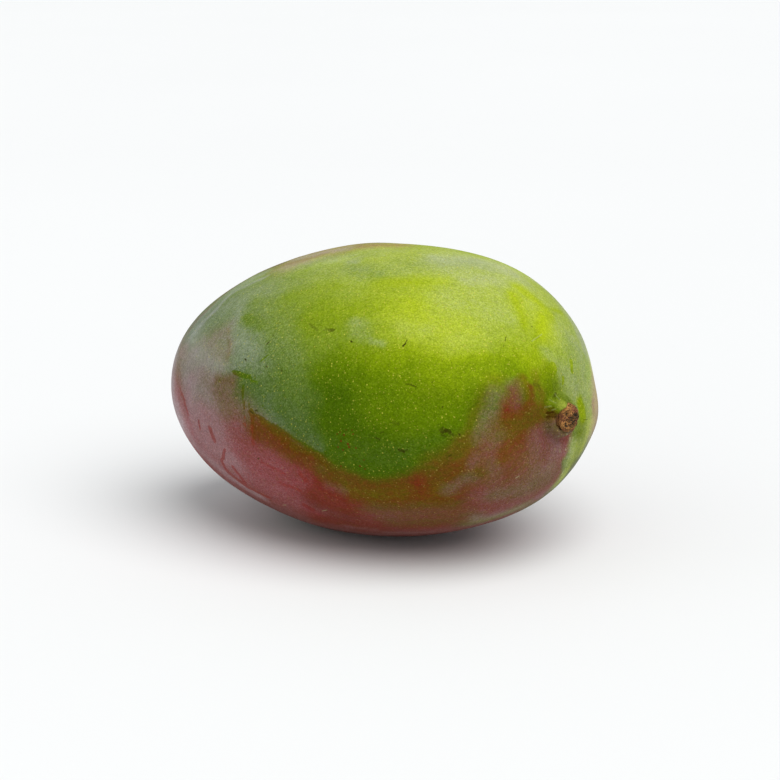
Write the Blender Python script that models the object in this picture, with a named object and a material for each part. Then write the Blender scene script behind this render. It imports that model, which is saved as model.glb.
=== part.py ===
"""A whole mango lying on its cheek, with the dry stub of its stalk.

Metres, +Z up. The long axis runs along X with the stalk end at +X. The origin is on the surface that the
fruit lies on, under the middle of its box. Run with: blender --background --python part.py
"""

import math

import bmesh
import bpy
from mathutils import Vector, noise

MM = 0.001

# Driving dimensions of the fruit, without its small swellings
LENGTH = 122 * MM
WIDTH = 94 * MM
HEIGHT = 78.2 * MM

# How the cross-section grows, shrinks and shifts along the fruit, in shares of the half width or height
TAPER = 0.048  # broad shoulders, narrow tip
SHOULDER_FULLNESS = 0.068
SIDEWAYS_BOW = 0.09  # the back of the fruit, on the far side, is rounder than its front
SIDEWAYS_SKEW = -0.06  # the front is full near the stalk and flatter towards the tip
SAG = -0.017
STALK_END_RISE = 0.112

# Soft swellings and flats: direction from the middle, angular spread, height
SWELLINGS = (
    (Vector((0.88, 0.47, 0.09)), 0.30, -1.1 * MM),  # flat on the far shoulder
    (Vector((0.69, 0.53, 0.49)), 0.28, -0.5 * MM),
    (Vector((0.14, 0.40, 0.91)), 0.30, -1.8 * MM),  # flat along the upper far side
    (Vector((-0.85, -0.50, -0.20)), 0.25, 0.8 * MM),  # blunt beak at the tip
    (Vector((-0.67, -0.53, -0.52)), 0.28, 1.2 * MM),
    (Vector((0.90, 0.41, -0.12)), 0.16, 1.0 * MM),  # low knuckle under the far shoulder
)

# Where the stalk stood, and the shallow basin and green collar round it
STALK_DIRECTION = Vector((0.992, -0.115, 0.037)).normalized()
STALK_AXIS = Vector((0.958, -0.282, 0.045)).normalized()  # the stalk leans off the surface's own normal
BASIN_DEPTH = 2.4 * MM
BASIN_RADIUS = 11.5 * MM
COLLAR_STANDS = 0.4 * MM  # the collar's flat top, above where the skin would run without the basin
COLLAR_TOP_RADIUS = 4.4 * MM
COLLAR_FOOT_RADIUS = 6.4 * MM
RIB_COUNT = 7
RIB_TURN = 0.8
RIB_HEIGHT = 0.12 * MM
RIB_RADIUS = 12.0 * MM
RIB_SPREAD = 5.0 * MM

# The dry stub stands in a socket in the collar, with a small gap all round
GAP = 0.3 * MM
STUB_FOOT_RADIUS = 3.3 * MM
STUB_HEAD_RADIUS = 3.55 * MM
STUB_DEPTH = 1.6 * MM
STUB_STANDS = 1.8 * MM
STUB_OVAL = 0.08  # the head is higher than it is wide, by this share each way
STUB_THREE_SIDED = 0.03
STUB_ROUGHNESS = 0.22 * MM
STUB_GRAIN = 1.1 * MM
STUB_CRUMBLED = (0.35, 0.70)  # the crumbling starts and is full at these shares of the stub's height

# Fractal noise of the crumbs: how fast finer ones fade, how much finer each level is, and how many there are
CRUMB_FADE = 0.8
CRUMB_FINER = 2.0
CRUMB_LEVELS = 3

# The fruit's own weight flattens a small spot under it
REST_DEPTH = 0.6 * MM
CUT_TOLERANCE = 0.001 * MM

FRUIT_SEGMENTS = 72
FRUIT_RINGS = 46
RING_CROWDING = 1.6  # above 1 crowds the rings towards the stalk
STUB_SEGMENTS = 40
STUB_RINGS = 26


def clear_scene():
    for obj in list(bpy.data.objects):
        bpy.data.objects.remove(obj)


def collection(name):
    made = bpy.data.collections.new(name)
    bpy.context.scene.collection.children.link(made)
    return made


def material(name, colour, roughness):
    made = bpy.data.materials.new(name)
    made.use_nodes = True
    shader = made.node_tree.nodes["Principled BSDF"]
    shader.inputs["Base Color"].default_value = (*colour, 1)
    shader.inputs["Roughness"].default_value = roughness
    shader.inputs["Metallic"].default_value = 0
    return made


def smooth_step(edge_0, edge_1, value):
    """0 at edge_0, 1 at edge_1, and smooth between."""
    t = min(1, max(0, (value - edge_0) / (edge_1 - edge_0)))
    return t * t * (3 - 2 * t)


def outward(direction):
    """The surface's normal, near enough, for a direction from the middle of the fruit."""
    return Vector((direction.x / LENGTH, direction.y / WIDTH, direction.z / HEIGHT)).normalized()


def body_point(direction):
    """The smooth fruit, without its basin, for a direction on the unit sphere."""
    along = direction.x
    across = 1 - along * along
    fullness = 1 + TAPER * along + SHOULDER_FULLNESS * along**3
    sideways = (SIDEWAYS_BOW + SIDEWAYS_SKEW * along) * across
    upward = (SAG + STALK_END_RISE * along) * across
    point = Vector((
        LENGTH / 2 * along,
        WIDTH / 2 * (direction.y * fullness + sideways),
        HEIGHT / 2 * (direction.z * fullness + upward),
    ))
    for centre, spread, height in SWELLINGS:
        off = direction.angle(centre) / spread
        point += outward(direction) * height * math.exp(-off * off)
    return point


STALK_SEAT = body_point(STALK_DIRECTION)


def stalk_relief(point):
    """How far the basin, its ribs and the collar move a point of the body along the stalk's axis."""
    rel = point - STALK_SEAT
    height = rel.dot(STALK_AXIS)
    flat = rel - height * STALK_AXIS
    distance = flat.length
    basin = -BASIN_DEPTH * math.exp(-((distance / BASIN_RADIUS) ** 2))
    rib_fade = math.exp(-(((distance - RIB_RADIUS) / RIB_SPREAD) ** 2))
    ribs = RIB_HEIGHT * rib_fade * math.cos(RIB_COUNT * math.atan2(flat.z, flat.y) + RIB_TURN)
    ground = height + basin + ribs
    on_collar = smooth_step(COLLAR_FOOT_RADIUS, COLLAR_TOP_RADIUS, distance)
    return ground + (COLLAR_STANDS - ground) * on_collar - height


def fruit_point(direction):
    point = body_point(direction)
    if direction.dot(STALK_DIRECTION) > 0:
        point += STALK_AXIS * stalk_relief(point)
    return point


def ball(name, segments, rings, place):
    """A closed ball, its pole on +Z, with each point moved by place(polar angle, turn)."""
    mesh = bpy.data.meshes.new(name)
    bm = bmesh.new()
    bmesh.ops.create_uvsphere(bm, u_segments=segments, v_segments=rings, radius=1)
    for vert in bm.verts:
        polar = math.acos(min(1, max(-1, vert.co.z)))
        turn = math.atan2(vert.co.y, vert.co.x)
        vert.co = place(polar, turn)
    return mesh, bm


def finish_mesh(mesh, bm, made_of, collection_of, location=(0, 0, 0), rotation=None):
    bmesh.ops.recalc_face_normals(bm, faces=bm.faces)
    bm.to_mesh(mesh)
    bm.free()
    mesh.materials.append(made_of)
    mesh.shade_smooth()
    obj = bpy.data.objects.new(mesh.name, mesh)
    obj.location = location
    if rotation is not None:
        obj.rotation_mode = "QUATERNION"
        obj.rotation_quaternion = rotation
    collection_of.objects.link(obj)
    return obj


def cut_rest_spot(bm, level):
    """Cuts the fruit off flat at a height, which leaves one flat face to lie on."""
    whole = bm.verts[:] + bm.edges[:] + bm.faces[:]
    cut = bmesh.ops.bisect_plane(
        bm, geom=whole, plane_co=(0, 0, level), plane_no=(0, 0, -1), clear_outer=True, dist=CUT_TOLERANCE
    )
    rim = [item for item in cut["geom_cut"] if isinstance(item, bmesh.types.BMEdge)]
    bmesh.ops.contextual_create(bm, geom=rim)


def build_fruit(skin, parts):
    to_stalk = Vector((0, 0, 1)).rotation_difference(STALK_DIRECTION)

    def place(polar, turn):
        crowded = math.pi * (polar / math.pi) ** RING_CROWDING
        direction = Vector((
            math.sin(crowded) * math.cos(turn),
            math.sin(crowded) * math.sin(turn),
            math.cos(crowded),
        ))
        return fruit_point(to_stalk @ direction)

    mesh, bm = ball("fruit", FRUIT_SEGMENTS, FRUIT_RINGS, place)
    lowest = min(vert.co.z for vert in bm.verts)
    cut_rest_spot(bm, lowest + REST_DEPTH)
    return finish_mesh(mesh, bm, skin, parts)


def collar_top():
    """The middle of the collar's rim, where the stub comes out of its socket."""
    return STALK_SEAT + STALK_AXIS * COLLAR_STANDS


def cut_socket(fruit, helpers):
    """Sinks a round socket for the stub into the collar."""
    depth = STUB_DEPTH + GAP
    above = 2 * STUB_STANDS
    bm = bmesh.new()
    bmesh.ops.create_cone(
        bm,
        cap_ends=True,
        segments=STUB_SEGMENTS,
        radius1=STUB_FOOT_RADIUS + GAP,
        radius2=STUB_FOOT_RADIUS + GAP,
        depth=depth + above,
    )
    mesh = bpy.data.meshes.new("socket_cutter")
    bm.to_mesh(mesh)
    bm.free()
    cutter = bpy.data.objects.new("socket_cutter", mesh)
    cutter.rotation_mode = "QUATERNION"
    cutter.rotation_quaternion = stalk_turn()
    cutter.location = collar_top() + STALK_AXIS * (above - depth) / 2
    cutter.hide_render = True
    cutter.display_type = "WIRE"
    helpers.objects.link(cutter)
    cut = fruit.modifiers.new("socket", "BOOLEAN")
    cut.operation = "DIFFERENCE"
    cut.solver = "EXACT"
    cut.object = cutter
    return cutter


def stalk_turn():
    """Turns +Z onto the stalk's axis."""
    return Vector((0, 0, 1)).rotation_difference(STALK_AXIS)


def stub_profile(share):
    """(radius, height) along the stub's outline, from the middle of its torn end to that of its foot."""
    outline = (
        (0.00, 0.0, STUB_STANDS),
        (0.30, 0.80 * STUB_HEAD_RADIUS, 0.95 * STUB_STANDS),
        (0.42, STUB_HEAD_RADIUS, 0.72 * STUB_STANDS),
        (0.52, STUB_HEAD_RADIUS, 0.42 * STUB_STANDS),
        (0.60, STUB_FOOT_RADIUS, 0.25 * STUB_STANDS),
        (0.76, 0.96 * STUB_FOOT_RADIUS, -STUB_DEPTH),
        (1.00, 0.0, -STUB_DEPTH),
    )
    for (share_0, radius_0, height_0), (share_1, radius_1, height_1) in zip(outline, outline[1:]):
        if share <= share_1:
            t = (share - share_0) / (share_1 - share_0)
            return radius_0 + t * (radius_1 - radius_0), height_0 + t * (height_1 - height_0)
    return outline[-1][1:]


def build_stub(cork, parts):
    """The dry stalk's stub: a cylinder in the socket under a crumbling, uneven head."""

    def place(polar, turn):
        radius, height = stub_profile(polar / math.pi)
        point = Vector((radius * math.cos(turn), radius * math.sin(turn), height))
        crumbled_from, crumbled_to = STUB_CRUMBLED
        above_rim = smooth_step(crumbled_from * STUB_STANDS, crumbled_to * STUB_STANDS, height)
        crumbs = noise.fractal(point / STUB_GRAIN, CRUMB_FADE, CRUMB_FINER, CRUMB_LEVELS)
        uneven = STUB_OVAL * math.cos(2 * turn) + STUB_THREE_SIDED * math.cos(3 * turn)
        point.x *= 1 + above_rim * uneven
        point.y *= 1 + above_rim * uneven
        point.z += above_rim * STUB_ROUGHNESS * crumbs
        return point

    mesh, bm = ball("stem_stub", STUB_SEGMENTS, STUB_RINGS, place)
    return finish_mesh(mesh, bm, cork, parts, collar_top(), stalk_turn())


def box_of(objects):
    """Lowest and highest corners of the finished objects."""
    bpy.context.view_layer.update()
    graph = bpy.context.evaluated_depsgraph_get()
    points = [
        obj.matrix_world @ vert.co
        for obj in objects
        for vert in obj.evaluated_get(graph).data.vertices
    ]
    return [
        Vector([pick(point[axis] for point in points) for axis in range(3)])
        for pick in (min, max)
    ]


def main():
    clear_scene()
    parts = collection("mango")
    helpers = collection("cutters")
    skin = material("mango_skin", (0.27, 0.33, 0.03), 0.45)
    cork = material("dry_stalk", (0.21, 0.10, 0.05), 0.9)

    fruit = build_fruit(skin, parts)
    cutter = cut_socket(fruit, helpers)
    stub = build_stub(cork, parts)

    # The whole mango hangs on an empty, which stands it on the origin
    low, high = box_of([fruit, stub])
    stand = bpy.data.objects.new("mango", None)
    parts.objects.link(stand)
    for obj in (fruit, stub, cutter):
        obj.parent = stand
    stand.location = (-(low.x + high.x) / 2, -(low.y + high.y) / 2, -low.z)


main()
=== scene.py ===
import math

import bpy
import numpy as np
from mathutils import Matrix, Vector, noise


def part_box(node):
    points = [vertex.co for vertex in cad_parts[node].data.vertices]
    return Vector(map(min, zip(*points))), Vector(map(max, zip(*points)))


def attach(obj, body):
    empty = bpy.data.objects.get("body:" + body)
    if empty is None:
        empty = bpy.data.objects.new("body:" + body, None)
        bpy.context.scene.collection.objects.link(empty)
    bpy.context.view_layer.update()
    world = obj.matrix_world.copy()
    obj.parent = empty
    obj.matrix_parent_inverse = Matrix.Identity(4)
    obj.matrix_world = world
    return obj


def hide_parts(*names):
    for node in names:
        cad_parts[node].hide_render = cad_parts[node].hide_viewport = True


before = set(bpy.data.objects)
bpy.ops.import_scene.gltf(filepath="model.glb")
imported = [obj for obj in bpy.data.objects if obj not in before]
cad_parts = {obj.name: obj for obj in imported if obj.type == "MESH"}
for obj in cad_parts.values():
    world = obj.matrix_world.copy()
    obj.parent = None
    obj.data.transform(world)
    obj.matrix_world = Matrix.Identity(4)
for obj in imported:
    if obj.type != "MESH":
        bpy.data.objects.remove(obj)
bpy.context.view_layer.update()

# The looks of a whole mango that lies on its cheek: a fine skin with its stalk basin, green collar and flat
# rest spot, the corky stub of the stalk, a pale floor and soft light.
#
# Everything is in metres. The skin's formula is worked out round the middle of the fruit, with the long
# axis along X, and the finished skin is then moved onto the frame's fruit. Pixels are those of the
# photograph, 780 wide and 780 high, with 0, 0 at its upper left.

MM = 0.001

# Driving dimensions of the fruit, as in the frame
LENGTH = 122 * MM
WIDTH = 94 * MM
HEIGHT = 78.2 * MM

# How the cross-section grows, shrinks and shifts along the fruit, in shares of the half width or height
TAPER = 0.048
SHOULDER_FULLNESS = 0.068
SIDEWAYS_BOW = 0.09
SIDEWAYS_SKEW = -0.06
SAG = -0.017
STALK_END_RISE = 0.112

# Soft swellings and flats: direction from the middle, angular spread, height
SWELLINGS = (
    ((0.88, 0.47, 0.09), 0.30, -1.1 * MM),  # flat on the far shoulder
    ((0.69, 0.53, 0.49), 0.28, -0.5 * MM),
    ((0.14, 0.40, 0.91), 0.30, -1.8 * MM),  # flat along the upper far side
    ((-0.85, -0.50, -0.20), 0.25, 0.8 * MM),  # blunt beak at the tip
    ((-0.67, -0.53, -0.52), 0.28, 1.2 * MM),
    ((0.90, 0.41, -0.12), 0.16, 1.0 * MM),  # low knuckle under the far shoulder
)

# The basin round the stalk, the ribs in it and the collar
STALK_DIRECTION = (0.992, -0.115, 0.037)
STALK_AXIS = (0.958, -0.282, 0.045)
BASIN_DEPTH = 2.4 * MM
BASIN_RADIUS = 11.5 * MM
COLLAR_STANDS = 0.4 * MM
COLLAR_TOP_RADIUS = 4.4 * MM
COLLAR_FOOT_RADIUS = 6.4 * MM
RIB_COUNT = 7
RIB_TURN = 0.8
RIB_HEIGHT = 0.12 * MM
RIB_RADIUS = 12.0 * MM
RIB_SPREAD = 5.0 * MM

# Lumps on the collar: turn round the stalk in degrees (0 is to the right as seen in the photograph, 90 up),
# then distance from its middle, spread and height
COLLAR_LUMPS = (
    (96, 3.7 * MM, 0.95 * MM, 0.90 * MM),
    (119, 3.7 * MM, 1.05 * MM, 1.80 * MM),
    (147, 3.9 * MM, 1.00 * MM, 1.10 * MM),
    (178, 4.6 * MM, 1.30 * MM, 0.30 * MM),
    (15, 5.2 * MM, 1.50 * MM, 0.35 * MM),
    (300, 5.4 * MM, 1.60 * MM, 0.25 * MM),
    (225, 5.6 * MM, 1.40 * MM, -0.30 * MM),
)

# The green of the largest lump: where it is across the stalk, and from where to where it fades
COLLAR_LUMP_AT = (-1.75 * MM, 3.3 * MM)
COLLAR_LUMP_TOP = 0.7 * MM
COLLAR_LUMP_FOOT = 1.8 * MM
COLLAR_STRENGTH = 0.66

SOCKET_RADIUS = 2.95 * MM
SOCKET_LIP = 0.4 * MM
SOCKET_DEPTH = 1.9 * MM

# Blender's noise of vectors starts from the clock unless it is given a seed
VECTOR_NOISE_SEED = 1

# How far apart the noises of two seeds are taken
SEED_STEPS = (7.3, 3.1, 5.7)

# Fine unevenness of the skin: size and height of its waves
UNDULATIONS = (
    (21 * MM, 0.26 * MM),
    (8 * MM, 0.07 * MM),
    (3 * MM, 0.012 * MM),
)

# The dry scar of the flower at the tip, which the photograph doesn't show
TIP_DIRECTION = (-0.975, -0.20, -0.08)
TIP_DENT_RADIUS = 3.0 * MM
TIP_DENT_DEPTH = 0.5 * MM
TIP_SCAR_RADIUS = 0.8 * MM
TIP_SCAR_HEIGHT = 0.7 * MM

# The mesh: its pole is on the stalk, and its rings crowd there
SKIN_SEGMENTS = 372
SKIN_RINGS = 262
RING_EVENNESS = 0.30
RING_CROWDING = 1.6

# The stub of the stalk
STUB_SEGMENTS = 150
STUB_RINGS = 120
STUB_HEAD_RADIUS = 3.30 * MM
STUB_NECK_RADIUS = 2.8 * MM
STUB_STANDS = 1.30 * MM
STUB_DEPTH = 1.5 * MM
STUB_ASIDE = 0.60 * MM  # the head leans this far to the right
STUB_OVAL = 0.10  # the head is higher than it is wide, by this share each way
STUB_WAVES = ((3, 0, 0.03), (7, 1, 0.02))  # waves round the head: how many, their turn and height

# The stub's outline from the middle of its torn end to the middle of its foot: share of the way, radius
# and height above the collar
STUB_OUTLINE = (
    (0.00, 0.0, 1.00 * STUB_STANDS),
    (0.34, 0.82 * STUB_HEAD_RADIUS, 0.97 * STUB_STANDS),
    (0.42, 0.97 * STUB_HEAD_RADIUS, 0.80 * STUB_STANDS),
    (0.50, 1.00 * STUB_HEAD_RADIUS, 0.50 * STUB_STANDS),
    (0.58, 1.00 * STUB_HEAD_RADIUS, -0.05 * STUB_STANDS),
    (0.66, STUB_NECK_RADIUS, -0.45 * STUB_STANDS),
    (0.80, 0.95 * STUB_NECK_RADIUS, -STUB_DEPTH),
    (1.00, 0.0, -STUB_DEPTH),
)

# The torn end, from the head's rim inwards: size, seed and share of its lumps
STUB_TORN = (0.2 * STUB_STANDS, 0.9 * STUB_STANDS)
STUB_LUMPS = (
    (1.3 * MM, 21, 0.40),
    (0.6 * MM, 22, 0.50),
    (0.28 * MM, 23, 0.75),
)
STUB_ROUGHNESS = 0.55 * MM
STUB_HIGHEST_LUMP = 0.6
STUB_SIDE_LUMPS = (0.9 * MM, 24, 0.12 * MM)  # size, seed and height

# How light the stub is: darker to the right and lighter upwards, each between two places
STUB_DARK_SIDE = (-0.5 * MM, 2.6 * MM)
STUB_DARKNESS = 0.60
STUB_LIGHT_TOP = (0.8 * MM, 2.8 * MM)
STUB_LIGHTNESS = 0.50
# The stub's side wall is painted lighter, as painted light on a side that the lamps leave in shade
STUB_SIDE_PAINTED_LIGHT = 0.55
STUB_DARKEST = -0.95
STUB_LIGHTEST = 0.80

# The camera, where the photograph was taken from
PHOTO_SIZE = 780
CAMERA_AZIMUTH = math.radians(33)
CAMERA_ELEVATION = math.radians(14)
CAMERA_DISTANCE = 620 * MM
CAMERA_ACROSS = 3.84 * MM
CAMERA_UP = -0.8 * MM
SENSOR_WIDTH = 36.0
LENS = 107.34
CLIP_START = 0.01
CLIP_END = 100

PIXELS_FOCAL = LENS / SENSOR_WIDTH * PHOTO_SIZE
FRUIT_MIDDLE = (376, 387)
OUTLINE_SLACK = 16  # pixels that a stroke's end may lie outside the outline
SHORTEST = 0.001 * MM  # a stroke as short as this counts as a dot


# Where the green cheek ends and the red blush starts. Both angles are seen from the middle of the fruit:
# turn round the middle of the green cheek (0 is to the right as seen in the photograph, 90 up), distance
# from it, and how far the change takes on each side
GREEN_CHEEK_MIDDLE = (420, 340)
GREEN_CHEEK_EDGE = (
    (0, 80, 8),
    (15, 80, 9),
    (35, 76, 10),
    (55, 68, 8),
    (70, 62, 6),
    (80, 60, 6),
    (92, 62, 6),
    (104, 64, 6),
    (114, 68, 7),
    (123, 74, 8),
    (135, 84, 10),
    (147, 93, 12),
    (158, 99, 14),
    (164, 94, 15),
    (171, 80, 15),
    (182, 65, 13),
    (195, 59, 10),
    (206, 56, 8),
    (226, 54, 7),
    (243, 55, 6),
    (252, 55, 5),
    (260, 53, 5),
    (268, 50, 5),
    (276, 46, 5),
    (284, 40, 5),
    (295, 36, 5),
    (305, 33, 4),
    (314, 31, 4),
    (324, 29, 3),
    (333, 29, 3),
    (340, 31, 3),
    (346, 42, 4),
    (352, 66, 6),
)

# Strokes on the skin. Each has a name, the pixels of the photograph where its two ends are seen, its
# radius and the width of its soft edge in millimetres, and the value that it leaves behind.

# How red the skin is, from 0 for green to 1 for full blush
BLUSH_STROKES = (
    ("greyed left end", (200, 385), (224, 405), 3.5, 4, 0.56),
    ("green left limb", (178, 348), (184, 372), 3.5, 4, 0.5),
    ("veil over the left end", (196, 352), (222, 354), 4, 4, 0.44),
    ("brown veil", (206, 344), (226, 332), 3, 3.5, 0.38),
    ("brown arc", (228, 331), (231, 343), 0.35, 0.7, 0.52),
    ("brown arc's foot", (231, 343), (229, 356), 0.35, 0.7, 0.5),
    ("olive rim", (190, 330), (229, 289), 0.8, 1.2, 0.42),
    ("tan rim at the top", (294, 262), (334, 250), 6.5, 5.5, 0.64),
    ("red rim at the top", (360, 246), (398, 245), 4, 4, 0.64),
    ("brown smudge on the left", (219, 381), (233, 384), 1.4, 2.4, 0.52),
    ("orange under the edge", (255, 432), (320, 467), 2.8, 2, 0.8),
    ("olive under the edge", (262, 424), (320, 459), 0.9, 1.2, 0.52),
    ("brown under the green", (322, 471), (348, 483), 2.4, 3, 0.5),
    ("soft border of the shoulder", (498, 388), (480, 418), 2.2, 3.2, 0.27),
    ("brown belly", (375, 506), (450, 502), 4, 5, 0.64),
    ("brown bottom", (395, 522), (470, 516), 3, 4, 0.66),
    ("olive belly", (352, 490), (400, 489), 2, 4, 0.57),
    ("streaky lower right", (440, 482), (490, 466), 3.5, 4, 0.58),
    ("brown wedge at the border", (432, 466), (474, 440), 2.4, 3, 0.46),
    ("red lower right", (515, 455), (535, 476), 6, 6, 0.76),
    ("mottled lower right", (500, 492), (545, 482), 3, 4, 0.62),
    ("olive saddle", (500, 430), (532, 416), 3.4, 3, 0.52),
    ("red peak", (512, 399), (519, 389), 2, 2.2, 0.78),
    ("olive left of the stalk", (540, 398), (549, 415), 2.4, 2.5, 0.47),
    ("green lobe", (545, 372), (549, 392), 2.4, 2, 0.08),
    ("brown by the lobe", (535, 378), (537, 398), 1.4, 2, 0.3),
    ("orange lick", (519, 382), (523, 398), 1.7, 1.4, 0.43),
    ("brown left of the lump", (546, 397), (552, 404), 1.6, 1.8, 0.48),
    ("green round the stalk", (557, 385), (584, 396), 5, 3, 0.04),
    ("green collar", (563, 400), (577, 404), 3.4, 1.4, 0.06),
    ("green right of the stalk", (584, 400), (582, 432), 4.2, 1.6, 0.04),
    ("green right end", (589, 388), (588, 432), 2.4, 1.8, 0.06),
    ("shade under the stalk", (554, 427), (562, 435), 1.8, 2, 0.55),
    ("green strip below the stalk", (577, 434), (567, 462), 3.3, 1.3, 0.06),
    ("green strip, lower", (567, 462), (555, 490), 2.9, 1.6, 0.1),
    ("green strip beside the edge", (590, 432), (580, 462), 4.4, 2, 0.14),
    ("green strip, outer", (583, 434), (573, 458), 3.4, 1.6, 0.1),
    ("green limb below", (589, 444), (570, 486), 5.5, 3, 0.16),
    ("green strip along the edge", (551, 492), (522, 510), 2.4, 2.4, 0.3),
    ("lower right edge", (520, 508), (465, 524), 2.8, 3.6, 0.5),
    ("pink right edge", (598, 392), (599, 420), 6.5, 4.5, 0.68),
)

# How crimson the red is, from 0 for brick to 1
CRIMSON_STROKES = (
    ("lower left", (190, 430), (280, 482), 10, 9, 1),
    ("orange under the edge", (250, 426), (325, 462), 2.6, 3, 0),
    ("dark belly", (318, 500), (345, 512), 3.5, 4, 0.25),
    ("brown belly", (380, 500), (470, 496), 6, 6, 0.05),
    ("mauve patch", (556, 432), (544, 466), 4, 5, 0.18),
    ("orange lick", (518, 383), (523, 398), 2, 2, 0),
    ("pink right edge", (598, 392), (599, 420), 8, 4, 0),
    ("tan rim at the top", (298, 261), (328, 251), 9, 4, 0),
    ("crimson blot", (304, 505), (313, 511), 1.4, 2.4, 1),
)
CRIMSON_ELSEWHERE = 0.22

# How ripe and yellow the green is, from 0 for deep green to 1 for lime. It rises towards the upper right,
# partly as the skin's own colour and partly as painted light from above, with painted shade lower down.
RIPE_MIDDLE = -0.03
RIPE_AND_LIGHT_RISE = (0.44, 0.03, 0.89)
RIPEST = 0.90
RIPENESS_STROKES = (
    ("left end", (195, 345), (222, 352), 5, 6, 0.3),
    ("lime heart", (420, 318), (455, 328), 7, 8, 0.94),
    ("clean wedge", (520, 288), (546, 330), 3, 4, 0.97),
    ("greener top", (395, 268), (475, 262), 3.5, 5, 0.76),
    ("greener gap", (352, 266), (376, 276), 2, 3, 0.62),
    ("deep green", (335, 405), (360, 440), 8, 8, 0.02),
    ("green under the shoulder", (482, 392), (508, 372), 3, 5, 0.46),
    ("green left of the stalk", (536, 386), (544, 400), 2.5, 3, 0.5),
    ("deep green by the dark scar", (450, 440), (425, 456), 3.5, 5, 0.08),
    ("greener middle", (385, 402), (490, 402), 5, 6, 0.25),
    ("yellower middle", (425, 388), (485, 395), 4, 5, 0.39),
    ("yellower still", (440, 372), (490, 376), 3, 4, 0.55),
    ("olive under the blush", (496, 426), (552, 430), 7, 6, 0.1),
    ("green at the right end", (576, 350), (584, 395), 3, 4, 0.64),
    ("right limb", (590, 360), (594, 420), 3, 3, 0.8),
    ("round the stalk", (570, 396), (584, 420), 2.5, 3, 0.64),
    # Painted shade: a darker, less ripe green on the basin's slope left of the stalk
    ("left of the stalk", (550, 384), (558, 400), 2.5, 3, 0.38),
    ("under the right side", (588, 428), (580, 450), 3, 3, 0.8),
    ("green strip", (574, 444), (558, 482), 2.5, 3, 0.78),
    ("strip's top", (575, 424), (581, 434), 2.5, 3, 0.45),
    ("lower right edge", (530, 502), (480, 520), 3, 4, 0.4),
    ("belly", (350, 495), (440, 492), 3, 4, 0.2),
)
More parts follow.
